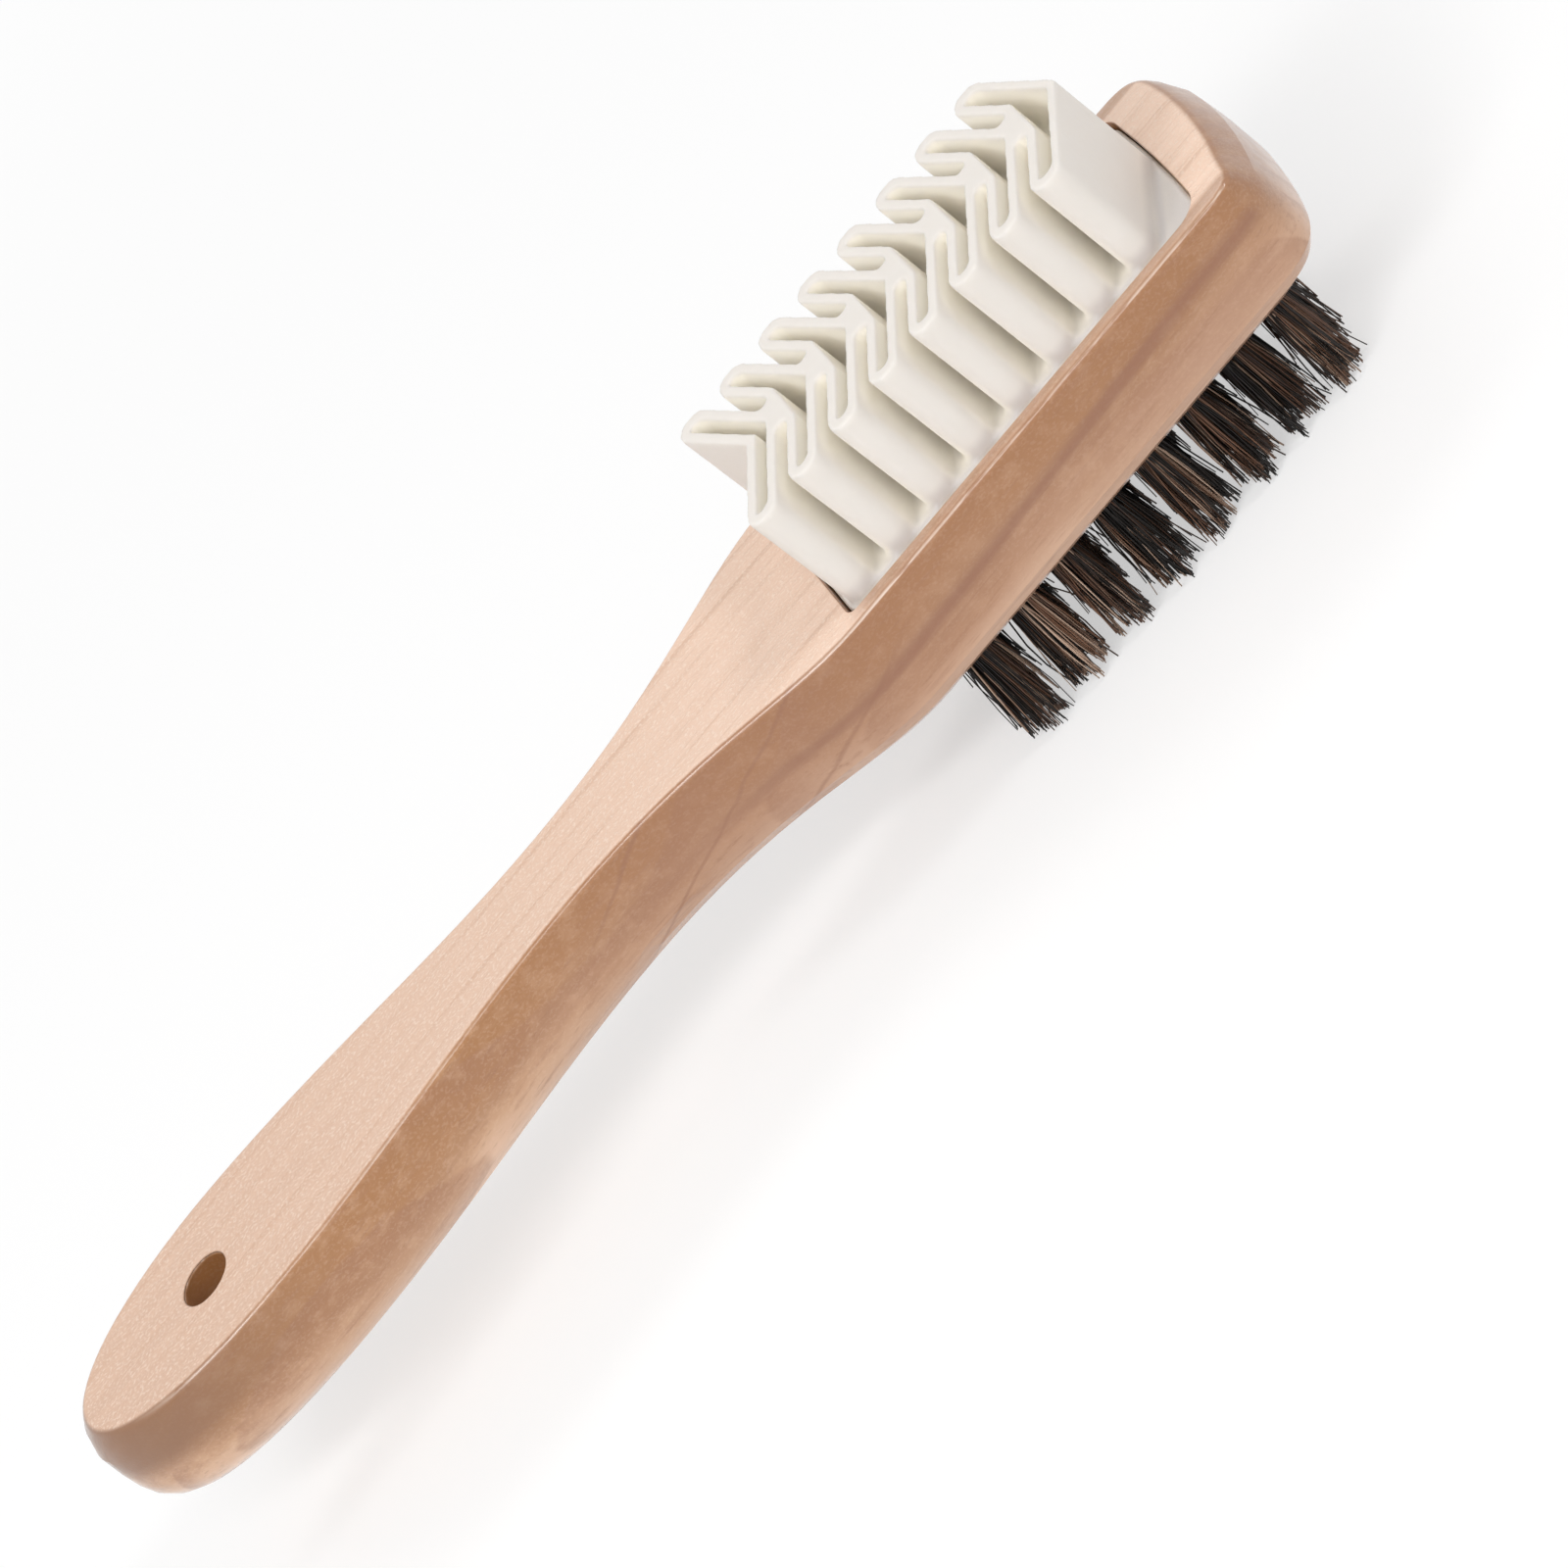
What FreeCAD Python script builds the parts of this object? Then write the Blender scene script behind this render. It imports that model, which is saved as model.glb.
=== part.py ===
"""Suede brush: a wooden body with a moulded crepe-rubber block on top and bristle tufts underneath.

Millimetres. +X runs from the handle end to the head end, +Z is up, towards the rubber.
The origin lies under the middle of the brush, level with the bristle tips.
"""
import FreeCAD
import Part
import math
import os

# Wooden body
body_length = 200.0
body_thickness = 16.0
grip_width = 27.8
waist_width = 16.8
shoulder_width = 35.2
head_width = 34.6
grip_station = 30.0
waist_station = 86.5
shoulder_station = 132.0
grip_lead = 22.0
waist_lead = 20.0
neck_lead = 24.0
shoulder_lead = 12.0
head_lead = 18.0
handle_end_fullness = 0.60
corner_setback = 8.95
corner_lead_side = 5.5
corner_lead_end = 4.1
corner_depth = 7.3
head_end_bulge = 0.75
head_end_slant = 1.0

# Rounding of the body: lower edges, and how far the upper edges draw in
handle_lower_round = 6.5
head_lower_round = 3.4
head_end_lower_round = 4.5
crown_height = 7.2
side_crown = 0.35
handle_end_crown = 2.8
head_end_crown = 2.45
corner_crown_length = 0.25
corner_crown_depth = 0.6
crown_sharpness = 2.9
round_steps = 5
crown_steps = 3
crown_crowding = 1.5

# Hanging hole through the handle
hang_hole_diameter = 6.8
hang_hole_station = 24.5
hang_hole_rim = 0.25

# Pocket in the top of the head
pocket_end_margin = 8.5
pocket_length = 59.6
pocket_side_wall = 2.45
pocket_depth = 5.0
pocket_near_radius = 1.2
pocket_far_radius = 3.6
pocket_end_bulge = 0.5

# Crepe-rubber block
insert_clearance = 0.15
insert_near_radius = 2.6
adhesive_thickness = 0.3
base_recess = 0.8
crepe_height = 15.8
cell_count = 8
block_start_margin = 6.4
block_end_margin = 0.34
cell_sweep = 24.3
cell_tip_inset = 0.25
near_wall = 1.6
cell_cavity = 1.75
far_wall = 1.6
last_far_wall = 1.35
last_cavity = 2.1
cavity_tip_wall = 1.7
cavity_tip_cut = 0.6
cavity_depth = 8.0
gap_floor_height = 0.8
bridge_width = 5.4
gap_end_sides = 4
flat_offset = 0.25
cell_tip_flat = 0.35
apex_radius = 0.8

# Bristle tufts and the flat wire anchors that hold them
tuft_columns = 8
tuft_rows = 4
tuft_column_pitch = 7.27
tuft_side_margin = 6.2
tuft_field_setback = 37.5
tuft_hole_diameter = 5.0
tuft_hole_depth = 8.0
tuft_clearance = 0.05
bristle_length = 15.0
tuft_tip_gap = 0.77
tuft_tip_flat = 3.6
tuft_tip_dome = 1.3
anchor_thickness = 0.4
anchor_height = 2.2
anchor_clearance = 0.05
tuft_fold = 1.0
tuft_sides = 10

# Working allowances: how far cutters run past a face, and what counts as one place
overrun = 1.0
same_place = 0.01

# Levels and places worked out from the sizes above
under_level = bristle_length
top_level = under_level + body_thickness
pocket_floor = top_level - pocket_depth
base_level = top_level - base_recess
gap_level = base_level + gap_floor_height
crepe_level = top_level + crepe_height
handle_end = -body_length / 2
head_end = body_length / 2
pocket_end = head_end - pocket_end_margin
pocket_start = pocket_end - pocket_length
pocket_width = head_width - 2 * pocket_side_wall
sweep_slope = math.tan(math.radians(cell_sweep))
cell_length = near_wall + cell_cavity + far_wall
last_length = near_wall + last_cavity + last_far_wall
first_apex = pocket_start + block_start_margin
last_apex = pocket_end - block_end_margin - last_length
cell_pitch = (last_apex - first_apex) / (cell_count - 1)
cell_gap = cell_pitch - cell_length
tip_reach = pocket_width / 2 - cell_tip_inset
tuft_row_pitch = (head_width - 2 * tuft_side_margin) / (tuft_rows - 1)
tuft_tip_diameter = min(tuft_column_pitch, tuft_row_pitch) - tuft_tip_gap
tuft_field_middle = head_end - tuft_field_setback


def at(station):
    """X of a place measured along the body from the handle end."""
    return handle_end + station


def lower_inset(height, radius):
    """How far a rounded lower edge stands in at a height above the underside."""
    if height >= radius:
        return 0.0
    return radius - math.sqrt(radius ** 2 - (radius - height) ** 2)


def crown_inset(height, draw):
    """How far the side draws in towards the top face at a height above the underside."""
    rise = height - (body_thickness - crown_height)
    if rise <= 0:
        return 0.0
    return draw * (rise / crown_height) ** crown_sharpness


def bezier(poles, z):
    """Edge of a flat Bezier curve at one level."""
    curve = Part.BezierCurve()
    curve.setPoles([FreeCAD.Vector(x, y, z) for x, y in poles])
    return curve.toShape()


def body_half(height, side):
    """Poles of one half of the body's plan outline at a height above its underside, on the +Y or -Y side.

    Six curves: handle end, grip to waist, neck, head side, head corner and half of the bowed, slanted end.
    """
    side_in = crown_inset(height, side_crown)
    handle_in = side_in + lower_inset(height, handle_lower_round)
    head_in = side_in + lower_inset(height, head_lower_round)
    start_in = crown_inset(height, handle_end_crown) + lower_inset(height, handle_lower_round)
    end_lower = lower_inset(height, head_end_lower_round)
    grip = grip_width / 2 - handle_in
    waist = waist_width / 2 - handle_in
    shoulder = shoulder_width / 2 - head_in
    head = head_width / 2 - head_in
    corner = head - corner_depth + crown_inset(height, corner_crown_depth)
    slope = side * head_end_slant / head
    slant_peak = (slope * corner) ** 2 / (4 * head_end_bulge)
    start = handle_end + start_in
    end = head_end - slant_peak - end_lower - crown_inset(height, head_end_crown)
    corner_x = head_end - corner_setback - end_lower + crown_inset(height, corner_crown_length)
    grip_x = at(grip_station)
    waist_x = at(waist_station)
    shoulder_x = at(shoulder_station)
    end_x = end - head_end_bulge
    end_reach = (1 - handle_end_fullness) * (grip_x - start)
    lean = corner_lead_end / math.hypot(2 * head_end_bulge, corner)
    lean_y = corner * (1 + lean)
    lean_x = end_x - 2 * head_end_bulge * lean + slope * lean_y
    curves = [
        [(start, 0), (start, handle_end_fullness * grip), (start + end_reach, grip), (grip_x, grip)],
        [(grip_x, grip), (grip_x + grip_lead, grip), (waist_x - waist_lead, waist), (waist_x, waist)],
        [(waist_x, waist), (waist_x + neck_lead, waist), (shoulder_x - shoulder_lead, shoulder),
         (shoulder_x, shoulder)],
        [(shoulder_x, shoulder), (shoulder_x + head_lead, shoulder), (corner_x - head_lead, head),
         (corner_x, head)],
        [(corner_x, head), (corner_x + corner_lead_side, head), (lean_x, lean_y),
         (end_x + slope * corner, corner)],
        [(end_x + slope * corner, corner),
         (end - head_end_bulge / 3 + slope * corner * 2 / 3, corner * 2 / 3),
         (end + slope * corner / 3, corner / 3), (end, 0)],
    ]
    return [[(x, side * y) for x, y in poles] for poles in curves]


def body_section(height):
    """Closed plan outline of the body at a height above its underside."""
    z = under_level + height
    edges = [bezier(poles, z) for poles in body_half(height, 1)]
    for poles in reversed(body_half(height, -1)):
        edges.append(bezier(poles[::-1], z))
    return Part.Wire(edges)


def section_heights():
    """Heights of the outlines that the body is drawn through, closer together on the rounded edges."""
    heights = []
    for step in range(round_steps + 1):
        angle = math.radians(90 * step / round_steps)
        heights.append(handle_lower_round * (1 - math.cos(angle)))
    for step in range(crown_steps + 1):
        heights.append(body_thickness - crown_height * (1 - step / crown_steps) ** crown_crowding)
    return sorted(heights)


def prism(points, z_low, z_high):
    """Upright solid with straight sides on a plan polygon."""
    corners = [FreeCAD.Vector(x, y, z_low) for x, y in points]
    wire = Part.makePolygon(corners + corners[:1])
    return Part.Face(wire).extrude(FreeCAD.Vector(0, 0, z_high - z_low))


def upright(shape, wanted):
    """Upright edges of a shape whose plan position answers the wanted test."""
    found = []
    for edge in shape.Edges:
        ends = [vertex.Point for vertex in edge.Vertexes]
        if len(ends) != 2:
            continue
        across = math.hypot(ends[0].x - ends[1].x, ends[0].y - ends[1].y)
        if across < same_place and wanted(ends[0].x, ends[0].y):
            found.append(edge)
    return found


def pocket_plate(inset, near_radius, z_low, z_high):
    """Solid with the plan of the pocket, drawn in all round by an inset."""
    near = pocket_start + inset
    far = pocket_end - inset
    reach = pocket_width / 2 - inset
    corner = far - pocket_end_bulge
    a = FreeCAD.Vector(corner, reach, z_low)
    b = FreeCAD.Vector(near, reach, z_low)
    c = FreeCAD.Vector(near, -reach, z_low)
    d = FreeCAD.Vector(corner, -reach, z_low)
    end_arc = Part.Arc(d, FreeCAD.Vector(far, 0, z_low), a).toShape()
    wire = Part.Wire([Part.makeLine(a, b), Part.makeLine(b, c), Part.makeLine(c, d), end_arc])
    plate = Part.Face(wire).extrude(FreeCAD.Vector(0, 0, z_high - z_low))
    near_edges = upright(plate, lambda x, y: x < (near + far) / 2)
    plate = plate.makeFillet(near_radius, near_edges)
    far_edges = upright(plate, lambda x, y: x > (near + far) / 2 and abs(abs(y) - reach) < same_place)
    return plate.makeFillet(pocket_far_radius - inset, far_edges)


def tuft_places():
    """Row, column, X and Y of every tuft."""
    places = []
    for row in range(tuft_rows):
        for column in range(tuft_columns):
            x = tuft_field_middle + (column - (tuft_columns - 1) / 2) * tuft_column_pitch
            y = (row - (tuft_rows - 1) / 2) * tuft_row_pitch
            places.append((row + 1, column + 1, x, y))
    return places


def anchor_box(x, y, play, z_low, z_high):
    """Flat plate across a tuft hole, enlarged by a play on its sides."""
    length = tuft_hole_diameter - 2 * anchor_clearance + 2 * play
    depth = anchor_thickness + 2 * play
    corner = FreeCAD.Vector(x - length / 2, y - depth / 2, z_low)
    return Part.makeBox(length, depth, z_high - z_low, corner)


def make_body():
    """Wooden body with the pocket, the hanging hole and the drilled tuft holes."""
    body = Part.makeLoft([body_section(height) for height in section_heights()], True, True)
    pocket = pocket_plate(0.0, pocket_near_radius, pocket_floor, top_level + overrun)
    hole_x = at(hang_hole_station)
    radius = hang_hole_diameter / 2
    bore_low = FreeCAD.Vector(hole_x, 0, under_level - overrun)
    bore = Part.makeCylinder(radius, body_thickness + 2 * overrun, bore_low)
    wide = radius + hang_hole_rim
    lower_rim = Part.makeCone(wide, radius, hang_hole_rim, FreeCAD.Vector(hole_x, 0, under_level))
    upper_rim = Part.makeCone(radius, wide, hang_hole_rim,
                              FreeCAD.Vector(hole_x, 0, top_level - hang_hole_rim))
    cuts = [pocket, bore, lower_rim, upper_rim]
    for row, column, x, y in tuft_places():
        low = FreeCAD.Vector(x, y, under_level - overrun)
        cuts.append(Part.makeCylinder(tuft_hole_diameter / 2, tuft_hole_depth + overrun, low))
    return body.cut(cuts)


def cell_apex(cell):
    """X of the point of a cell's near wall, on the middle line."""
    return first_apex + cell * cell_pitch


def chevron(x_near, x_far, reach, z_low, z_high):
    """Solid between two swept-back V lines, cut off square at the tips."""
    back = reach * sweep_slope
    points = [(x_near, 0), (x_near - back, reach), (x_far - back, reach), (x_far, 0),
              (x_far - back, -reach), (x_near - back, -reach)]
    return prism(points, z_low, z_high)


def gap_slot(cell, side):
    """Gap between a cell and the next one, on one side of the bridge, with a rounded inner end."""
    cosine = math.cos(math.radians(cell_sweep))
    sine = math.sin(math.radians(cell_sweep))
    radius = cell_gap * cosine / 2
    middle_y = bridge_width / 2 + radius
    middle_x = cell_apex(cell) + cell_length + cell_gap / 2 - middle_y * sweep_slope
    out = 2 * tip_reach
    outline = [(-radius, out), (radius, out)]
    for step in range(gap_end_sides + 1):
        angle = math.pi * step / gap_end_sides
        outline.append((radius * math.cos(angle), -radius * math.sin(angle)))
    points = []
    for across, along in outline:
        x = middle_x + across * cosine - along * sine
        y = middle_y + across * sine + along * cosine
        points.append((x, side * y))
    return prism(points, gap_level - overrun, crepe_level + overrun)


def cell_hollow(cell):
    """Hollow inside a cell: a V with its point cut back flat where a bridge stands behind it."""
    apex = cell_apex(cell)
    near = apex + near_wall
    far = near + (last_cavity if cell == cell_count - 1 else cell_cavity)
    reach = tip_reach - cavity_tip_wall
    back = reach * sweep_slope
    if cell == 0:
        points = [(near, 0)]
    else:
        flat = apex - flat_offset
        flat_reach = (near - flat) / sweep_slope
        points = [(flat, -flat_reach), (flat, flat_reach)]
    points += [(near - back, reach), (far - back, reach), (far, 0)]
    points += [(far - back, -reach), (near - back, -reach)]
    hollow = prism(points, crepe_level - cavity_depth, crepe_level + overrun)
    return hollow.makeChamfer(cavity_tip_cut, upright(hollow, lambda x, y: abs(abs(y) - reach) < same_place))


def cell_tip_radius():
    """Radius on both corners of a cell's swept tip that leaves the stated flat between them."""
    sharp = math.radians(90 - cell_sweep)
    blunt = math.radians(90 + cell_sweep)
    return (cell_length - cell_tip_flat) / (1 / math.tan(sharp / 2) + 1 / math.tan(blunt / 2))


def cell_block(z_low, z_high):
    """Solid with the plan of the whole row of cells."""
    first = cell_apex(0)
    last = cell_apex(cell_count - 1) + last_length
    block = chevron(first, last, tip_reach, z_low, z_high)
    return block.makeFillet(apex_radius, upright(block, lambda x, y: abs(y) < same_place))


def rounded_tips(shape):
    """Shape with the upright corners at the cell tips rounded."""
    tips = upright(shape, lambda x, y: abs(abs(y) - tip_reach) < same_place)
    return shape.makeFillet(cell_tip_radius(), tips)


def make_insert():
    """Crepe-rubber block: a base plate and a plinth with a row of hollow V cells joined along the middle."""
    base = pocket_plate(insert_clearance, insert_near_radius, pocket_floor + adhesive_thickness, base_level)
    plinth = rounded_tips(cell_block(base_level, gap_level))
    slots = []
    for cell in range(cell_count - 1):
        slots += [gap_slot(cell, 1), gap_slot(cell, -1)]
    cells = rounded_tips(cell_block(gap_level, crepe_level).cut(slots))
    cells = cells.cut([cell_hollow(cell) for cell in range(cell_count)])
    return base.fuse([plinth, cells]).removeSplitter()


def tuft_ring(x, y, radius, z):
    """Corners of a level many-sided outline about the middle line of a tuft."""
    turn = 2 * math.pi / tuft_sides
    corners = []
    for side in range(tuft_sides):
        angle = side * turn
        corners.append(FreeCAD.Vector(x + radius * math.cos(angle), y + radius * math.sin(angle), z))
    return corners


def flat_face(corners):
    """Flat face with the given corners."""
    return Part.Face(Part.makePolygon(corners + corners[:1]))


def stacked(rings):
    """Closed solid with flat faces between each outline and the next one up."""
    faces = [flat_face(rings[0][::-1]), flat_face(rings[-1])]
    for low, high in zip(rings, rings[1:]):
        for side in range(len(low)):
            follow = (side + 1) % len(low)
            faces.append(flat_face([low[side], low[follow], high[follow], high[side]]))
    return Part.makeSolid(Part.makeShell(faces))


def make_tuft(x, y):
    """Bundle of bristles: a straight shank in its hole, spreading to a blunt tip, slotted for its anchor."""
    shank = tuft_hole_diameter / 2 - tuft_clearance
    tip = tuft_tip_diameter / 2
    hole_top = under_level + tuft_hole_depth
    rings = [tuft_ring(x, y, tuft_tip_flat / 2, 0), tuft_ring(x, y, tip, tuft_tip_dome),
             tuft_ring(x, y, shank, under_level), tuft_ring(x, y, shank, hole_top)]
    tuft = stacked(rings)
    slot_top = hole_top - tuft_fold + anchor_clearance
    slot_low = slot_top - anchor_height - 2 * anchor_clearance
    return tuft.cut(anchor_box(x, y, anchor_clearance, slot_low, slot_top))


def make_anchors():
    """All the flat wire anchors, one across the folded end of each tuft."""
    anchor_top = under_level + tuft_hole_depth - tuft_fold
    plates = []
    for row, column, x, y in tuft_places():
        plates.append(anchor_box(x, y, 0.0, anchor_top - anchor_height, anchor_top))
    return Part.makeCompound(plates)


os.makedirs("parts", exist_ok=True)
make_body().exportStep("parts/brush_body.step")
make_insert().exportStep("parts/crepe_insert.step")
adhesive = pocket_plate(insert_clearance, insert_near_radius, pocket_floor, pocket_floor + adhesive_thickness)
adhesive.exportStep("parts/insert_adhesive.step")
make_anchors().exportStep("parts/tuft_anchors.step")
for row, column, x, y in tuft_places():
    make_tuft(x, y).exportStep("parts/tuft_row%d_col%d.step" % (row, column))
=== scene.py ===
"""Looks of a suede brush: varnished wood, a moulded crepe-rubber block and bristle tufts.

Metres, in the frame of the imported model: +X runs from the handle end to the head end, +Z is up.
"""
import math
import random

import bmesh
import bpy
from mathutils import Matrix, Vector


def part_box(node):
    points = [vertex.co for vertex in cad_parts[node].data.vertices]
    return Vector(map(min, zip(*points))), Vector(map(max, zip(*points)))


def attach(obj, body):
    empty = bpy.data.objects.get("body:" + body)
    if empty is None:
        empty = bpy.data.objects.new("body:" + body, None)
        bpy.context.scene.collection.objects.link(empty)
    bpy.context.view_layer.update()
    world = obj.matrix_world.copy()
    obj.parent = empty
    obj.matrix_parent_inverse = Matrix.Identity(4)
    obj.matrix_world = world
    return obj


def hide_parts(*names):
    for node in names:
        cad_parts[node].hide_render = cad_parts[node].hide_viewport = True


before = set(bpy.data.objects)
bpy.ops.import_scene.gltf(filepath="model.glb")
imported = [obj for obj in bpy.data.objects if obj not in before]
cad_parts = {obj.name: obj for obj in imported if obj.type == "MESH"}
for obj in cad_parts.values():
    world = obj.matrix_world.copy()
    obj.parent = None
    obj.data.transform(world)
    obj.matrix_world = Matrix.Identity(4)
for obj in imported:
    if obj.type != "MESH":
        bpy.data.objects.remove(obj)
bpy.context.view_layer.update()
mm = 0.001

# Camera of the photograph
camera_aim = Vector((11.11, -6.80, 18.82)) * mm
camera_azimuth = 8.489
camera_elevation = 29.498
camera_roll = 53.888
camera_distance = 779.72 * mm
camera_lens = 158.955
camera_sensor = 36.0
camera_clip = 10 * mm

# Growth rings of the wood: their spacing, their slope and how far they wander
ring_spacing = 4.3 * mm
ring_slope = 0.36
ring_wander = 1.5
ring_start = 0.30

# Slanted lines on the sides of the neck, and the stretches along X where they appear and fade
neck_line_slope = 2.6
neck_line_start = -69.5 * mm
neck_line_spacing = 24.2 * mm
neck_line_wander = 9 * mm
neck_line_rise = (-22 * mm, -8 * mm)
neck_line_fall = (25 * mm, 38 * mm)

# Where the looks of the wood change along X, among them where painted shade darkens the neck and the handle
# end, and where a pale edge line of wear and painted glint shows
vein_rise = (-20 * mm, 25 * mm)
vein_climb_start = 15 * mm
# Stretch along X where painted shade on the neck rises and falls
neck_shade_rise = (-35 * mm, 5 * mm)
neck_shade_fall = (20 * mm, 60 * mm)
# Length from the handle end over which painted shade darkens the upper sides
painted_end_shade_length = 45 * mm
# Stretches where the pale edge line of wear and painted glint fades in on the handle and the head
wear_and_glint_handle = (-50 * mm, -15 * mm)
wear_and_glint_head = (15 * mm, 40 * mm)

# Colours of the sanded top face
sanded_handle = (0.635, 0.420, 0.305, 1)
sanded_head = (0.900, 0.665, 0.525, 1)
sanded_streak = (0.735, 0.500, 0.365, 1)
sanded_ring = (0.560, 0.335, 0.220, 1)
sanded_fleck = (0.940, 0.780, 0.660, 1)
sanded_pore = (0.580, 0.370, 0.260, 1)

# Colours of the varnished sides, paler below partly as painted light from the floor: the first row runs from
# the bottom to the top
side_stops_with_floor_light = ((0.0, (0.760, 0.500, 0.345)), (0.35, (0.530, 0.298, 0.166)), (0.58, (0.415, 0.212, 0.101)),
                   (0.78, (0.390, 0.179, 0.066)), (1.0, (0.362, 0.157, 0.048)))
varnished_ring = (0.320, 0.140, 0.068, 1)
varnished_mottle = (0.640, 0.395, 0.240, 1)
varnished_stroke = (0.330, 0.150, 0.072, 1)
varnished_pore = (0.250, 0.105, 0.050, 1)
varnished_fleck = (0.780, 0.540, 0.390, 1)
vein_colour = (0.240, 0.095, 0.050, 1)
# Painted shade on the sides of the neck
neck_shade_colour = (0.300, 0.125, 0.055, 1)
# Painted shade on the upper sides towards the handle end
painted_end_shade_colour = (0.235, 0.105, 0.044, 1)
# Pale edge line: partly rubbed varnish, partly a painted glint
wear_and_glint_colour = (0.900, 0.740, 0.620, 1)

# Colours of the rubber, with a paler, warmer colour painted into its hollows as light and a grey painted
# shade low down next to the wood, the heights of that shade above the wood, and how far light goes in it
rubber_pale = (0.785, 0.745, 0.700, 1)
rubber_dull = (0.765, 0.720, 0.670, 1)
# Painted light: paler, warmer colour in the hollows between the cells
rubber_hollow_glow = (1.0, 0.945, 0.850, 1)
# Painted shade: grey low down on the rubber next to the wood, and the heights where it fades out
rubber_foot_shade = (0.560, 0.525, 0.515, 1)
foot_shade_low = 0.4 * mm
foot_shade_high = 2.4 * mm
# How far round the hollows are sensed for the painted light
shade_reach = 8 * mm
scatter_depth = 1.6 * mm
scatter_shares = (0.80, 0.80, 0.75)

# Colours of the hair, from the darkest strand to the palest
hair_stops = ((0.0, (0.008, 0.006, 0.005)), (0.36, (0.016, 0.010, 0.007)), (0.56, (0.066, 0.031, 0.018)),
              (0.80, (0.190, 0.096, 0.056)), (1.0, (0.560, 0.400, 0.300)))

# Colours of the glue film and of the wire
glue_deep = (0.46, 0.30, 0.12, 1)
glue_light = (0.60, 0.43, 0.20, 1)
wire_dull = (0.50, 0.50, 0.50, 1)
wire_bright = (0.66, 0.66, 0.65, 1)

# Soft edges of the wood
wood_outer_edge = 0.8 * mm
wood_inner_edge = 0.25 * mm
edge_segments = 4
least_edge_angle = math.radians(18)
full_edge_angle = math.radians(55)
crease_angle = math.radians(32)
flat_angle = math.radians(0.2)
top_face_tilt = 0.7
same_point = 0.002 * mm
same_level = 0.05 * mm
end_zone = 15 * mm

# Moulded rubber: grain of its soft surface, and how far the edges melt into it
rubber_grain = 0.30 * mm
rubber_melting = 7
rubber_melting_strength = 0.5
rubber_share_kept = 0.22

# Bristles: strands in clumps that share a lean, a length and a tone
clumps_per_tuft = 36
strands_per_clump = 5
strand_steps = 5
strand_sides = 3
strand_radius = 0.125 * mm
tip_taper = 0.25
root_radius = 1.85 * mm
root_rise = 1.0 * mm
root_scatter = 0.16 * mm
tip_spread = 1.72
tip_scatter = 0.24 * mm
clump_rise = 2.2 * mm
strand_rise = 0.7 * mm
strand_bow = 0.34 * mm
stray_share = 0.11
stray_reach = 2.2 * mm
end_splay = 0.6 * mm
tip_lean = -0.6 * mm
strand_thickness = (0.75, 1.25)
tuft_tone_range = (-0.08, 0.14)
clump_tone_power = 1.35
strand_tone_scatter = 0.12
first_seed = 1000

# Floor, which whitens from near the brush to far off, the light from all round and the aim of the lamps
floor_size = 8.0
floor_colour = (0.95, 0.95, 0.95, 1)
floor_whitening = 0.55
floor_near = 0.14
floor_far = 0.55
bright_side = (0.75, -0.45, 0.48)
dome_dim = 0.24
dome_bright = 0.56
plain_white = (1, 1, 1, 1)
light_aim = Vector((0, 0, 20)) * mm


def sockets(inputs, tree, made):
    """Sets or links the named inputs of a node."""
    for name, value in inputs.items():
        if isinstance(value, bpy.types.NodeSocket):
            tree.links.new(value, made.inputs[name])
        else:
            made.inputs[name].default_value = value


def add(tree, kind, inputs=None, **settings):
    """New node with its settings, and its inputs set or linked."""
    made = tree.nodes.new(kind)
    for name, value in settings.items():
        setattr(made, name, value)
    sockets(inputs or {}, tree, made)
    return made


def blend(tree, factor, first, second):
    """Colour between two others."""
    made = add(tree, "ShaderNodeMix", data_type="RGBA")
    sockets({0: factor, 6: first, 7: second}, tree, made)
    return made.outputs[2]


def mixed_value(tree, factor, first, second):
    """Number between two others."""
    return add(tree, "ShaderNodeMix", {0: factor, 2: first, 3: second}, data_type="FLOAT").outputs[0]


def maths(tree, operation, first, second=0.0):
    """Result of one sum on two values."""
    return add(tree, "ShaderNodeMath", {0: first, 1: second}, operation=operation).outputs[0]


def product(tree, first, *others):
    """All the values multiplied together."""
    for other in others:
        first = maths(tree, "MULTIPLY", first, other)
    return first


def swing(tree, noise, amount):
    """Noise centred on nought and scaled."""
    return product(tree, maths(tree, "SUBTRACT", noise, 0.5), amount)


def tinted(tree, colour, mask, amount, tint):
    """Colour drawn towards a tint, by an amount, where a mask is one."""
    return blend(tree, product(tree, mask, amount), colour, tint)


def between(tree, value, low, high, out_low=0.0, out_high=1.0):
    """Value carried smoothly from one range to another, and held at its ends."""
    made = add(tree, "ShaderNodeMapRange", interpolation_type="SMOOTHSTEP")
    sockets({0: value, 1: low, 2: high, 3: out_low, 4: out_high}, tree, made)
    return made.outputs[0]


def split(tree, vector):
    """X, Y and Z of a vector, each under its own name."""
    return add(tree, "ShaderNodeSeparateXYZ", {0: vector}).outputs


def relief(tree, height, strength, distance):
    """Normal of a surface with fine bumps."""
    inputs = {"Height": height, "Strength": strength, "Distance": distance}
    return add(tree, "ShaderNodeBump", inputs).outputs[0]


def stretched_noise(tree, scale, detail, roughness, distortion=0.0):
    """Noise in the object's own metres, with its own scale along each axis."""
    place = add(tree, "ShaderNodeTexCoord").outputs["Object"]
    mapped = add(tree, "ShaderNodeMapping", {"Vector": place, "Scale": scale})
    inputs = {"Vector": mapped.outputs[0], "Scale": 1.0, "Detail": detail, "Roughness": roughness,
              "Distortion": distortion}
    return add(tree, "ShaderNodeTexNoise", inputs).outputs["Fac"]


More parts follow.
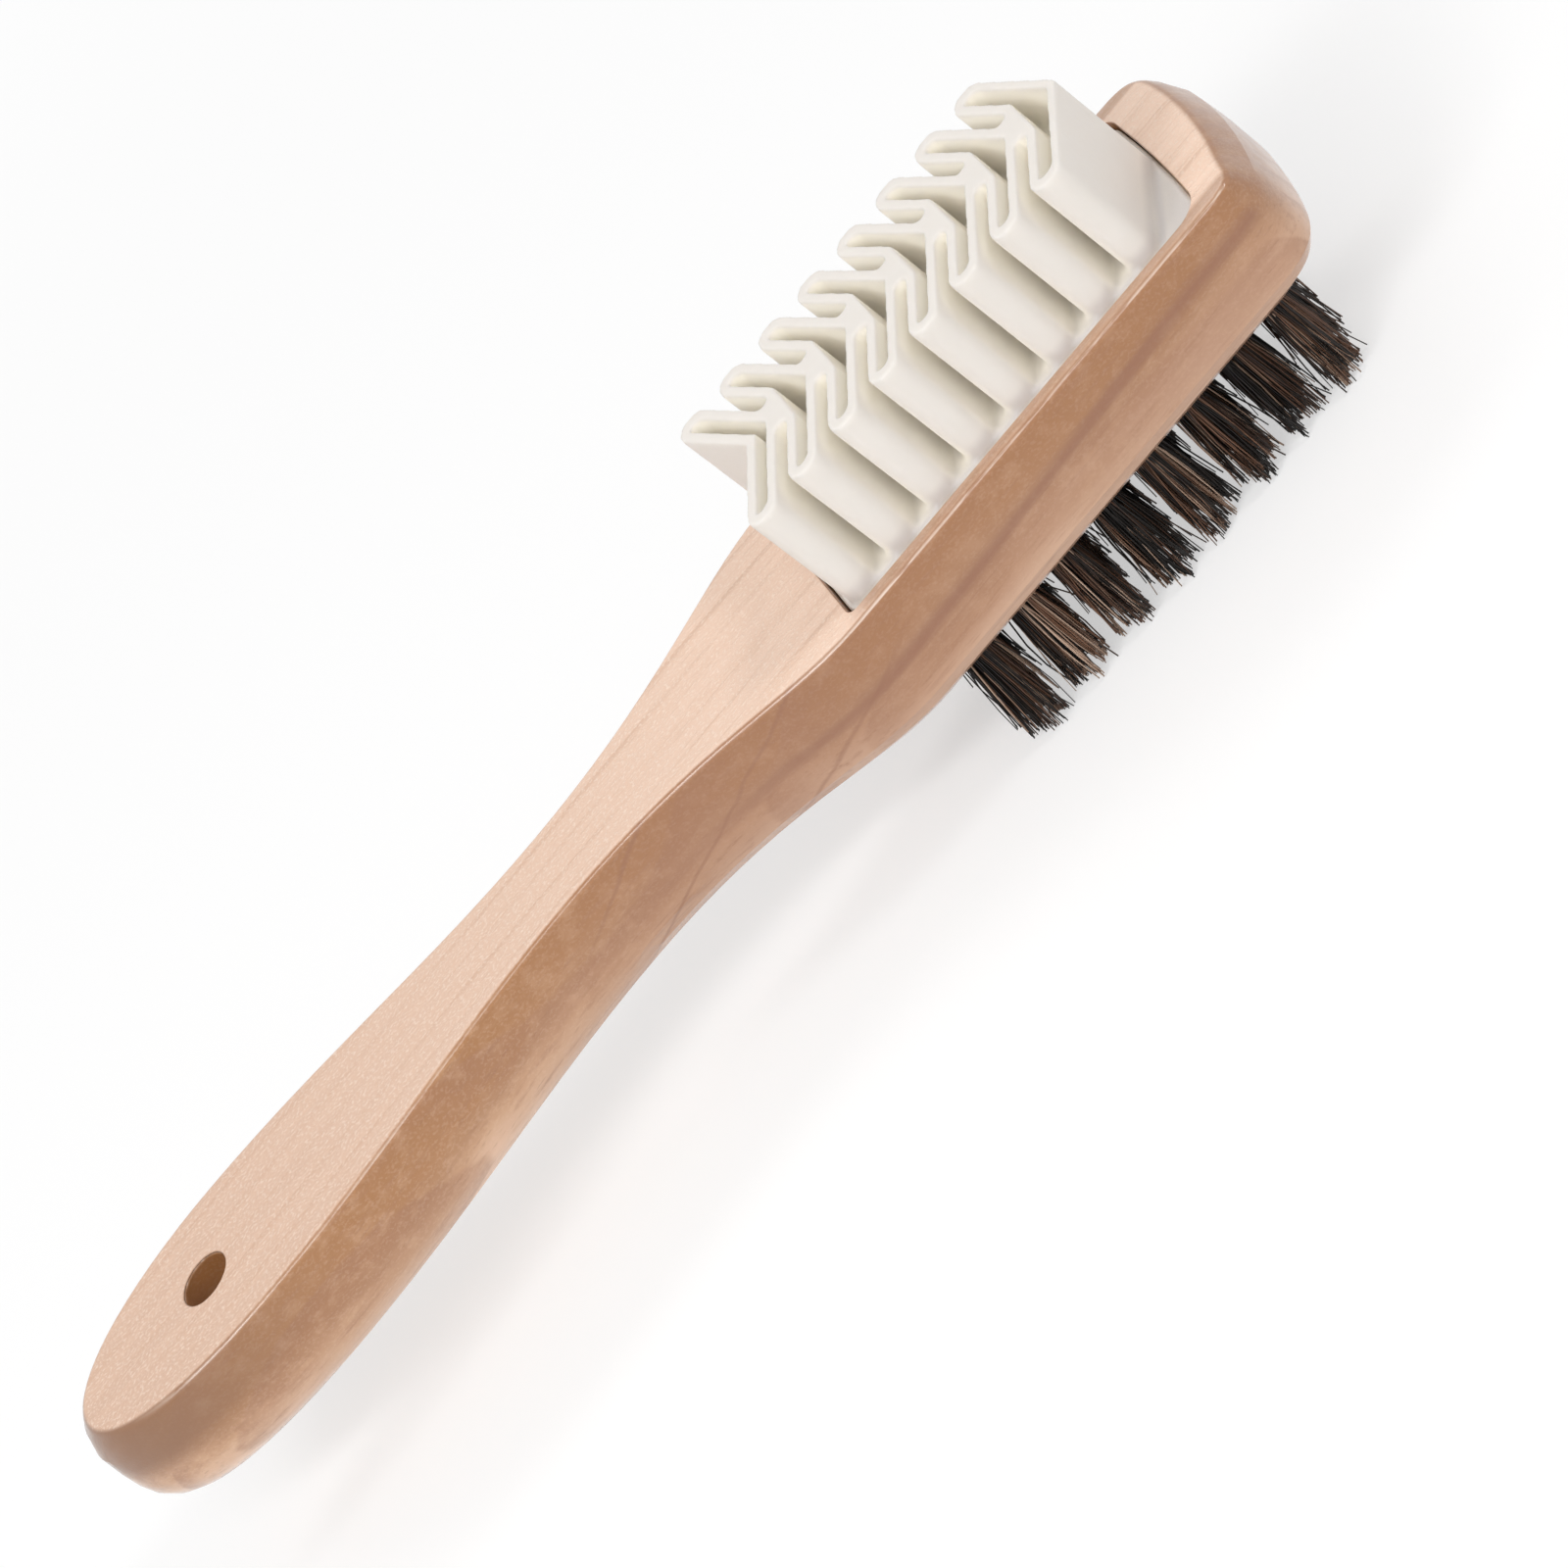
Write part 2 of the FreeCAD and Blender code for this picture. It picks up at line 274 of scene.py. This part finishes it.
def new_material(name):
    """Empty node material with its shader and tree."""
    material = bpy.data.materials.new(name)
    material.use_nodes = True
    shader = material.node_tree.nodes["Principled BSDF"]
    return material, material.node_tree, shader


def ramp(tree, factor, stops):
    """Colour read from a row of positions and colours."""
    made = add(tree, "ShaderNodeValToRGB", {"Fac": factor})
    elements = made.color_ramp.elements
    while len(elements) < len(stops):
        elements.new(1.0)
    for element, (position, colour) in zip(elements, stops):
        element.position = position
        element.color = (*colour, 1)
    return made.outputs["Color"]


def top_face(tree, normal, place):
    """One on the sanded top face and nought on the varnished sides, with the rims of the pocket between."""
    top_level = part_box("brush_body")[1][2]
    pocket_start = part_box("crepe_insert")[0][0]
    pocket_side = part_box("crepe_insert")[1][1]
    level = between(tree, normal["Z"], 0.80, 0.985)
    near_top = between(tree, place["Z"], top_level - 0.45 * mm, top_level - 0.05 * mm)
    aside = maths(tree, "ABSOLUTE", place["Y"])
    beside = between(tree, aside, pocket_side - 1.0 * mm, pocket_side + 0.2 * mm, 0.0, 0.6)
    past_start = between(tree, place["X"], pocket_start - 2 * mm, pocket_start + 4 * mm)
    off_rim = maths(tree, "SUBTRACT", 1.0, product(tree, beside, past_start))
    return product(tree, level, near_top, off_rim)


def growth_rings(tree, place):
    """Rises through each year's growth to a dark late line, then falls off sharply."""
    drift = stretched_noise(tree, (11, 40, 40), 2, 0.5)
    tilted = maths(tree, "ADD", place["Y"], product(tree, place["Z"], ring_slope))
    years = maths(tree, "DIVIDE", tilted, ring_spacing)
    wander = maths(tree, "ADD", product(tree, drift, ring_wander), ring_start)
    year = maths(tree, "FRACT", maths(tree, "ADD", years, wander))
    return product(tree, between(tree, year, 0.30, 0.93), between(tree, year, 0.93, 1.0, 1.0, 0.0))


def wood_grain(tree):
    """Noises of the wood, from its broad figure to its fine flecks, drawn out along X."""
    figure = stretched_noise(tree, (28, 70, 110), 3, 0.55, 0.4)
    streaks = stretched_noise(tree, (26, 420, 520), 3, 0.6, 0.2)
    strokes = stretched_noise(tree, (95, 1150, 1150), 3, 0.6)
    mottle = stretched_noise(tree, (330, 420, 420), 3, 0.6)
    fibres = stretched_noise(tree, (170, 2300, 2300), 2, 0.6)
    flecks = stretched_noise(tree, (1900, 2900, 2900), 2, 0.6)
    return {
        "figure": figure,
        "streaks": streaks,
        "broken": between(tree, streaks, 0.36, 0.62),
        "strokes": between(tree, strokes, 0.50, 0.75),
        "mottle": between(tree, mottle, 0.45, 0.75),
        "fibres": fibres,
        "pore": between(tree, fibres, 0.60, 0.76),
        "fleck": between(tree, flecks, 0.48, 0.66),
    }


def sanded_colour(tree, place, rings, grain):
    """Pale top face: thin ring lines, fine bright flecks and pores."""
    low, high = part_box("brush_body")
    along = between(tree, place["X"], low[0], high[0])
    colour = blend(tree, along, sanded_handle, sanded_head)
    colour = tinted(tree, colour, grain["broken"], 0.35, sanded_streak)
    line = product(tree, between(tree, rings, 0.62, 0.98), grain["broken"])
    colour = tinted(tree, colour, line, 0.42, sanded_ring)
    colour = tinted(tree, colour, grain["fleck"], 0.45, sanded_fleck)
    return tinted(tree, colour, grain["pore"], 0.35, sanded_pore)


def dark_vein(tree, place, normal, height, grain):
    """Dark line of wood along the sides of the head, climbing towards its end."""
    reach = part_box("brush_body")[1][0]
    climb = between(tree, place["X"], vein_climb_start, reach, 0.50, 0.78)
    wavy = maths(tree, "ADD", height, swing(tree, grain["streaks"], 0.16))
    apart = maths(tree, "ABSOLUTE", maths(tree, "SUBTRACT", wavy, climb))
    line = between(tree, apart, 0.01, 0.13, 1.0, 0.0)
    on_sides = between(tree, normal["X"], 0.25, 0.60, 1.0, 0.0)
    on_head = between(tree, place["X"], *vein_rise)
    return product(tree, line, on_sides, on_head)


def neck_lines(tree, place, grain):
    """Thin dark lines that slant across the sides of the neck."""
    leaned = maths(tree, "SUBTRACT", place["X"], product(tree, place["Z"], neck_line_slope))
    wavy = maths(tree, "ADD", leaned, swing(tree, grain["figure"], neck_line_wander))
    turns = maths(tree, "DIVIDE", maths(tree, "SUBTRACT", wavy, neck_line_start), neck_line_spacing)
    apart = maths(tree, "ABSOLUTE", maths(tree, "SUBTRACT", maths(tree, "FRACT", turns), 0.5))
    line = between(tree, apart, 0.005, 0.045, 1.0, 0.0)
    rise = between(tree, place["X"], *neck_line_rise)
    fall = between(tree, place["X"], *neck_line_fall, 1.0, 0.0)
    return product(tree, line, rise, fall)


def varnished_colour(tree, place, normal, rings, grain):
    """Brown sides: ochre above and paler below, partly as painted light from the floor, with dark lines,
    strokes and painted shade on the neck and at the handle end.
    """
    low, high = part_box("brush_body")
    height = between(tree, place["Z"], low[2], high[2])
    level = maths(tree, "ADD", height, swing(tree, grain["figure"], 0.9))
    # Paler towards the bottom: partly the wood's own tone, partly painted light from the floor
    colour = ramp(tree, level, side_stops_with_floor_light)
    late = product(tree, rings, between(tree, grain["streaks"], 0.25, 0.60, 0.35, 1.0))
    colour = tinted(tree, colour, late, 0.50, varnished_ring)
    colour = tinted(tree, colour, grain["mottle"], 0.30, varnished_mottle)
    colour = tinted(tree, colour, grain["strokes"], 0.45, varnished_stroke)
    colour = tinted(tree, colour, grain["pore"], 0.28, varnished_pore)
    colour = tinted(tree, colour, grain["fleck"], 0.12, varnished_fleck)
    colour = tinted(tree, colour, dark_vein(tree, place, normal, height, grain), 0.70, vein_colour)
    colour = tinted(tree, colour, neck_lines(tree, place, grain), 0.45, vein_colour)
    # Painted shade on the sides of the neck
    neck = product(tree, between(tree, place["X"], *neck_shade_rise),
                   between(tree, place["X"], *neck_shade_fall, 1.0, 0.6))
    colour = tinted(tree, colour, neck, 0.50, neck_shade_colour)
    # Painted shade: the upper sides darker towards the handle end
    near_end = between(tree, place["X"], low[0], low[0] + painted_end_shade_length, 1.0, 0.0)
    painted_end_shade = product(tree, near_end, between(tree, height, 0.40, 0.75))
    return blend(tree, painted_end_shade, colour, painted_end_shade_colour)


def worn_edge_and_glint(tree, place, normal, grain):
    """Broken pale line along the top edge, partly varnish rubbed pale and partly a painted glint, most of all
    on the head.
    """
    top_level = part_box("brush_body")[1][2]
    turned = product(tree, between(tree, normal["Z"], 0.48, 0.66),
                     between(tree, normal["Z"], 0.72, 0.90, 1.0, 0.0))
    near_top = between(tree, place["Z"], top_level - 0.9 * mm, top_level - 0.6 * mm)
    off_ends = between(tree, maths(tree, "ABSOLUTE", normal["X"]), 0.15, 0.40, 1.0, 0.0)
    patchy = product(tree, between(tree, grain["strokes"], 0.0, 0.5, 1.0, 0.20),
                     between(tree, grain["figure"], 0.40, 0.60, 0.20, 1.0))
    along = maths(tree, "ADD", between(tree, place["X"], *wear_and_glint_head, 0.0, 0.65),
                  between(tree, place["X"], *wear_and_glint_handle, 0.30, 0.0))
    return product(tree, turned, near_top, off_ends, patchy, along)


def wood_material():
    """Beech: pale sanded top face, varnished sides with a soft figure, grain along X."""
    material, tree, shader = new_material("varnished_beech")
    surface = add(tree, "ShaderNodeNewGeometry")
    normal = split(tree, surface.outputs["Normal"])
    place = split(tree, surface.outputs["Position"])
    top = top_face(tree, normal, place)
    rings = growth_rings(tree, place)
    grain = wood_grain(tree)
    side_colour = varnished_colour(tree, place, normal, rings, grain)
    colour = blend(tree, top, side_colour, sanded_colour(tree, place, rings, grain))
    # Pale top edge: partly wear, partly a painted glint
    colour = blend(tree, worn_edge_and_glint(tree, place, normal, grain), colour, wear_and_glint_colour)
    side_rough = between(tree, grain["streaks"], 0.3, 0.7, 0.36, 0.48)
    top_rough = between(tree, grain["fibres"], 0.3, 0.7, 0.50, 0.62)
    rough = mixed_value(tree, top, side_rough, top_rough)
    height = maths(tree, "ADD", product(tree, grain["fleck"], 0.8), grain["fibres"])
    bumps = relief(tree, height, between(tree, top, 0.0, 1.0, 0.10, 0.45), 0.12 * mm)
    varnish = between(tree, top, 0.0, 1.0, 0.85, 0.10)
    sockets({"Base Color": colour, "Roughness": rough, "Normal": bumps}, tree, shader)
    sockets({"Coat Weight": varnish, "Coat Roughness": 0.15}, tree, shader)
    return material


def rubber_material():
    """Milky crepe rubber that lets light in, with painted light making it paler and warmer between its cells,
    and painted shade making it greyer low down next to the wood.
    """
    material, tree, shader = new_material("crepe_rubber")
    mottle = stretched_noise(tree, (260, 260, 260), 3, 0.55)
    skin = stretched_noise(tree, (1900, 1900, 1900), 2, 0.5)
    hidden = add(tree, "ShaderNodeAmbientOcclusion", {"Distance": shade_reach}, samples=8)
    # Painted light in the hollows between the cells, standing in for light through the rubber
    shade = between(tree, hidden.outputs["AO"], 0.30, 0.78, 1.0, 0.0)
    colour = blend(tree, shade, blend(tree, mottle, rubber_pale, rubber_dull), rubber_hollow_glow)
    wood_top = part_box("brush_body")[1][2]
    place = split(tree, add(tree, "ShaderNodeNewGeometry").outputs["Position"])
    # Painted shade: grey low down next to the wood, out in the open only
    foot_shade = between(tree, place["Z"], wood_top + foot_shade_low, wood_top + foot_shade_high, 0.75, 0.0)
    in_the_open = maths(tree, "SUBTRACT", 1.0, product(tree, shade, 0.85))
    colour = blend(tree, product(tree, foot_shade, in_the_open), colour, rubber_foot_shade)
    rough = between(tree, skin, 0.3, 0.7, 0.42, 0.54)
    bumps = relief(tree, skin, 0.10, 0.08 * mm)
    sockets({"Base Color": colour, "Roughness": rough, "Normal": bumps}, tree, shader)
    shader.subsurface_method = "RANDOM_WALK"
    sockets({"Subsurface Weight": 0.45, "Subsurface Radius": scatter_shares,
             "Subsurface Scale": scatter_depth, "Specular IOR Level": 0.35}, tree, shader)
    return material


def bristle_material():
    """Natural hair: mostly near black, with browns and a few pale strands."""
    material, tree, shader = new_material("bristle_hair")
    tone = add(tree, "ShaderNodeAttribute", attribute_name="tone").outputs["Fac"]
    streak = stretched_noise(tree, (900, 900, 260), 2, 0.5)
    colour = ramp(tree, maths(tree, "ADD", tone, swing(tree, streak, 0.12)), hair_stops)
    rough = between(tree, streak, 0.3, 0.7, 0.30, 0.46)
    sockets({"Base Color": colour, "Roughness": rough, "Specular IOR Level": 0.35}, tree, shader)
    return material


def glue_material():
    """Amber glue film under the rubber."""
    material, tree, shader = new_material("amber_glue")
    flow = stretched_noise(tree, (90, 140, 140), 3, 0.6, 0.8)
    colour = blend(tree, flow, glue_deep, glue_light)
    rough = between(tree, flow, 0.3, 0.7, 0.25, 0.42)
    bumps = relief(tree, flow, 0.2, 0.1 * mm)
    sockets({"Base Color": colour, "Roughness": rough, "Normal": bumps}, tree, shader)
    return material


def wire_material():
    """Drawn flat steel wire with fine lines along it."""
    material, tree, shader = new_material("drawn_wire")
    drawn = stretched_noise(tree, (300, 9000, 9000), 2, 0.6)
    colour = blend(tree, drawn, wire_dull, wire_bright)
    rough = between(tree, drawn, 0.3, 0.7, 0.26, 0.44)
    bumps = relief(tree, drawn, 0.15, 0.02 * mm)
    sockets({"Base Color": colour, "Roughness": rough, "Normal": bumps, "Metallic": 1.0}, tree, shader)
    return material


def new_piece(name, mesh, material, slot, *nodes):
    """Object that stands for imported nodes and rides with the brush."""
    piece = bpy.data.objects.new(name, mesh)
    bpy.context.scene.collection.objects.link(piece)
    mesh.materials.append(material)
    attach(piece, "root")
    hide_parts(*nodes)
    return piece


def faces_outward(edge, reach):
    """True where a face beside an edge looks away from the middle line of the piece."""
    middle = (edge.verts[0].co + edge.verts[1].co) / 2
    away = Vector((middle.x - max(-reach, min(reach, middle.x)), middle.y, 0))
    return any(face.normal.z < top_face_tilt and face.normal.dot(away) > 0 for face in edge.link_faces)


def edge_width(edge, outer, inner, top_level, reach):
    """Rounding of one edge: full on a sharp edge, and none where faces meet smoothly."""
    if len(edge.link_faces) != 2:
        return 0.0
    turn = (edge.calc_face_angle() - least_edge_angle) / (full_edge_angle - least_edge_angle)
    along_top = all(vert.co.z > top_level - same_level for vert in edge.verts)
    width = outer if along_top and faces_outward(edge, reach) else inner
    return width * min(1.0, max(0.0, turn))


def softened_copy(name, node, material, slot, outer, inner):
    """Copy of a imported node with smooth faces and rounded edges."""
    shape = bmesh.new()
    shape.from_mesh(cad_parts[node].data)
    bmesh.ops.remove_doubles(shape, verts=shape.verts, dist=same_point)
    bmesh.ops.dissolve_limit(shape, angle_limit=flat_angle, verts=shape.verts, edges=shape.edges)
    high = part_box(node)[1]
    weight = shape.edges.layers.float.new("bevel_weight_edge")
    for face in shape.faces:
        face.smooth = True
        face.material_index = 0
    for edge in shape.edges:
        edge.smooth = len(edge.link_faces) == 2 and edge.calc_face_angle() < crease_angle
        edge[weight] = edge_width(edge, outer, inner, high[2], high[0] - end_zone) / outer
    mesh = bpy.data.meshes.new(name)
    shape.to_mesh(mesh)
    shape.free()
    piece = new_piece(name, mesh, material, slot, node)
    bevel = piece.modifiers.new("soft_edges", "BEVEL")
    bevel.width = outer
    bevel.segments = edge_segments
    bevel.limit_method = "WEIGHT"
    bevel.use_clamp_overlap = False
    bevel.harden_normals = True
    piece.modifiers.new("even_shading", "WEIGHTED_NORMAL").keep_sharp = True
    return piece


def melted_copy(name, node, material, slot):
    """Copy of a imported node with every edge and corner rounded, as in a soft moulding."""
    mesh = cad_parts[node].data.copy()
    mesh.materials.clear()
    piece = new_piece(name, mesh, material, slot, node)
    grain = piece.modifiers.new("grain", "REMESH")
    grain.mode = "VOXEL"
    grain.voxel_size = rubber_grain
    grain.use_smooth_shade = True
    melting = piece.modifiers.new("melting", "SMOOTH")
    melting.factor = rubber_melting_strength
    melting.iterations = rubber_melting
    piece.modifiers.new("thinning", "DECIMATE").ratio = rubber_share_kept
    return piece


def scattered(dice, size):
    """Small level step in a random direction."""
    return Vector((dice.gauss(0, size), dice.gauss(0, size), 0))


def clump_ends(dice, centre, lean, level):
    """Middle of one clump at its hole and at its tip."""
    angle = dice.uniform(0, 2 * math.pi)
    out = Vector((math.cos(angle), math.sin(angle), 0)) * root_radius * math.sqrt(dice.random())
    root = Vector((centre.x, centre.y, level + root_rise)) + out
    tip = Vector((centre.x + lean, centre.y, clump_rise * dice.random() ** 2)) + out * tip_spread
    return root, tip


def strand_path(dice, root, tip):
    """Points of one bristle of a clump, from its hole to its tip."""
    start = root + scattered(dice, root_scatter)
    stop = tip + scattered(dice, tip_scatter) + Vector((0, 0, strand_rise * dice.random()))
    if dice.random() < stray_share:
        stop += scattered(dice, stray_reach / 2)
    bow = scattered(dice, strand_bow)
    path = []
    for step in range(strand_steps):
        along = step / (strand_steps - 1)
        path.append(start.lerp(stop, along) + bow * 4 * along * (1 - along))
    return path


def add_strand(points, faces, path, thick):
    """Adds one tapered many-sided strand to a mesh's points and faces."""
    first = len(points)
    for step, middle in enumerate(path):
        radius = thick * (1 - tip_taper * step / (strand_steps - 1))
        for side in range(strand_sides):
            angle = 2 * math.pi * side / strand_sides
            points.append(middle + Vector((math.cos(angle), math.sin(angle), 0)) * radius)
    for step in range(strand_steps - 1):
        low = first + step * strand_sides
        high = low + strand_sides
        for side in range(strand_sides):
            follow = (side + 1) % strand_sides
            faces.append((low + side, high + side, high + follow, low + follow))
    faces.append(tuple(reversed(range(len(points) - strand_sides, len(points)))))


def tuft_mesh(name, dice, centre, lean, level):
    """Mesh of one tuft, in which each strand keeps its own tone."""
    points = []
    faces = []
    tones = []
    tuft_tone = dice.uniform(*tuft_tone_range)
    for clump in range(clumps_per_tuft):
        root, tip = clump_ends(dice, centre, lean, level)
        clump_tone = dice.random() ** clump_tone_power + tuft_tone
        for strand in range(strands_per_clump):
            path = strand_path(dice, root, tip)
            add_strand(points, faces, path, strand_radius * dice.uniform(*strand_thickness))
            tone = min(1.0, max(0.0, clump_tone + dice.gauss(0, strand_tone_scatter)))
            tones += [tone] * (strand_steps * strand_sides)
    mesh = bpy.data.meshes.new(name)
    mesh.from_pydata(points, [], faces)
    mesh.attributes.new("tone", "FLOAT", "POINT").data.foreach_set("value", tones)
    mesh.polygons.foreach_set("use_smooth", [True] * len(mesh.polygons))
    return mesh


def make_bristles(material):
    """One strand mesh for each packed tuft."""
    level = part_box("brush_body")[0][2]
    names = sorted(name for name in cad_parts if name.startswith("tuft_row"))
    middle_x = sum(sum(corner[0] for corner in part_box(name)) / 2 for name in names) / len(names)
    reach = max(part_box(name)[1][0] for name in names) - middle_x
    for number, node in enumerate(names):
        dice = random.Random(first_seed + number)
        low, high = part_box(node)
        centre = (Vector(low) + Vector(high)) / 2
        lean = tip_lean + end_splay * (centre.x - middle_x) / reach
        mesh = tuft_mesh(node.replace("tuft", "bristles"), dice, centre, lean, level)
        new_piece(mesh.name, mesh, material, "bristle", node)


def aim_matrix(aim, azimuth, elevation, roll, distance):
    """Placement that looks at a point from an azimuth and elevation, turned about the view."""
    turn, rise, lean = (math.radians(value) for value in (azimuth, elevation, roll))
    back = Vector((math.sin(turn) * math.cos(rise), -math.cos(turn) * math.cos(rise), math.sin(rise)))
    level = Vector((math.cos(turn), math.sin(turn), 0))
    upright = back.cross(level)
    right = level * math.cos(lean) - upright * math.sin(lean)
    up = level * math.sin(lean) + upright * math.cos(lean)
    placed = Matrix((right, up, back)).transposed().to_4x4()
    placed.translation = aim + back * distance
    return placed


def make_camera():
    """Camera at the photograph's viewpoint."""
    data = bpy.data.cameras.new("photo_camera")
    data.lens = camera_lens
    data.sensor_width = camera_sensor
    data.clip_start = camera_clip
    camera = bpy.data.objects.new("photo_camera", data)
    camera.matrix_world = aim_matrix(camera_aim, camera_azimuth, camera_elevation, camera_roll,
                                     camera_distance)
    bpy.context.scene.collection.objects.link(camera)
    bpy.context.scene.camera = camera


def area_light(name, azimuth, elevation, distance, width, depth, power):
    """Oblong soft light aimed at the brush."""
    data = bpy.data.lights.new(name, "AREA")
    data.shape = "RECTANGLE"
    data.size = width
    data.size_y = depth
    data.energy = power
    light = bpy.data.objects.new(name, data)
    light.matrix_world = aim_matrix(light_aim, azimuth, elevation, 0, distance)
    bpy.context.scene.collection.objects.link(light)


def seen_directly(tree):
    """One for rays from the camera, from mirrors and through glass, and nought for the rest."""
    path = add(tree, "ShaderNodeLightPath")
    seen = maths(tree, "MAXIMUM", path.outputs["Is Camera Ray"], path.outputs["Is Glossy Ray"])
    return maths(tree, "MAXIMUM", seen, path.outputs["Is Transmission Ray"])


def floor_material():
    """Matt white under the brush, where it takes shadows, and plain white far off."""
    material, tree, shader = new_material("white_floor")
    tree.nodes.remove(shader)
    matt = add(tree, "ShaderNodeBsdfDiffuse", {"Color": floor_colour})
    glow = add(tree, "ShaderNodeEmission", {"Color": plain_white, "Strength": 1.0})
    place = add(tree, "ShaderNodeNewGeometry").outputs["Position"]
    away = add(tree, "ShaderNodeVectorMath", {0: place}, operation="LENGTH").outputs["Value"]
    whitened = between(tree, away, floor_near, floor_far, floor_whitening, 1.0)
    white_part = product(tree, seen_directly(tree), whitened)
    mixed = add(tree, "ShaderNodeMixShader", {0: white_part, 1: matt.outputs[0], 2: glow.outputs[0]})
    tree.links.new(mixed.outputs[0], tree.nodes["Material Output"].inputs["Surface"])
    return material


def make_floor():
    """Level white floor that keeps the brush's shadow."""
    corners = [(-1, -1), (1, -1), (1, 1), (-1, 1)]
    mesh = bpy.data.meshes.new("floor")
    mesh.from_pydata([(x * floor_size / 2, y * floor_size / 2, 0) for x, y in corners], [], [(0, 1, 2, 3)])
    mesh.materials.append(floor_material())
    floor = bpy.data.objects.new("floor", mesh)
    bpy.context.scene.collection.objects.link(floor)


def make_world():
    """Soft light from all round, brighter on one side, that is itself seen as plain white."""
    world = bpy.data.worlds.new("studio")
    world.use_nodes = True
    bpy.context.scene.world = world
    tree = world.node_tree
    direction = add(tree, "ShaderNodeTexCoord").outputs["Generated"]
    facing = add(tree, "ShaderNodeVectorMath", {0: direction, 1: bright_side}, operation="DOT_PRODUCT")
    dome = between(tree, facing.outputs["Value"], -0.8, 0.9, dome_dim, dome_bright)
    strength = mixed_value(tree, seen_directly(tree), dome, 1.0)
    sockets({"Color": plain_white, "Strength": strength}, tree, tree.nodes["Background"])


softened_copy("wooden_body", "brush_body", wood_material(), "wood", wood_outer_edge, wood_inner_edge)
melted_copy("crepe_block", "crepe_insert", rubber_material(), "crepe_rubber")
make_bristles(bristle_material())
for node, material in (("insert_adhesive", glue_material()), ("tuft_anchors", wire_material())):
    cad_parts[node].data.materials.clear()
    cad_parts[node].data.materials.append(material)

make_camera()
make_floor()
make_world()
area_light("rear_strip", azimuth=195, elevation=58, distance=1.1, width=1.0, depth=0.25, power=2.4)
area_light("front_strip", azimuth=342, elevation=48, distance=1.1, width=1.0, depth=0.15, power=3.4)
area_light("side_fill", azimuth=318, elevation=42, distance=1.1, width=0.5, depth=0.5, power=3.4)
area_light("head_end_key", azimuth=72, elevation=42, distance=1.2, width=0.20, depth=0.20, power=2.4)
bpy.context.scene.view_settings.view_transform = "Standard"
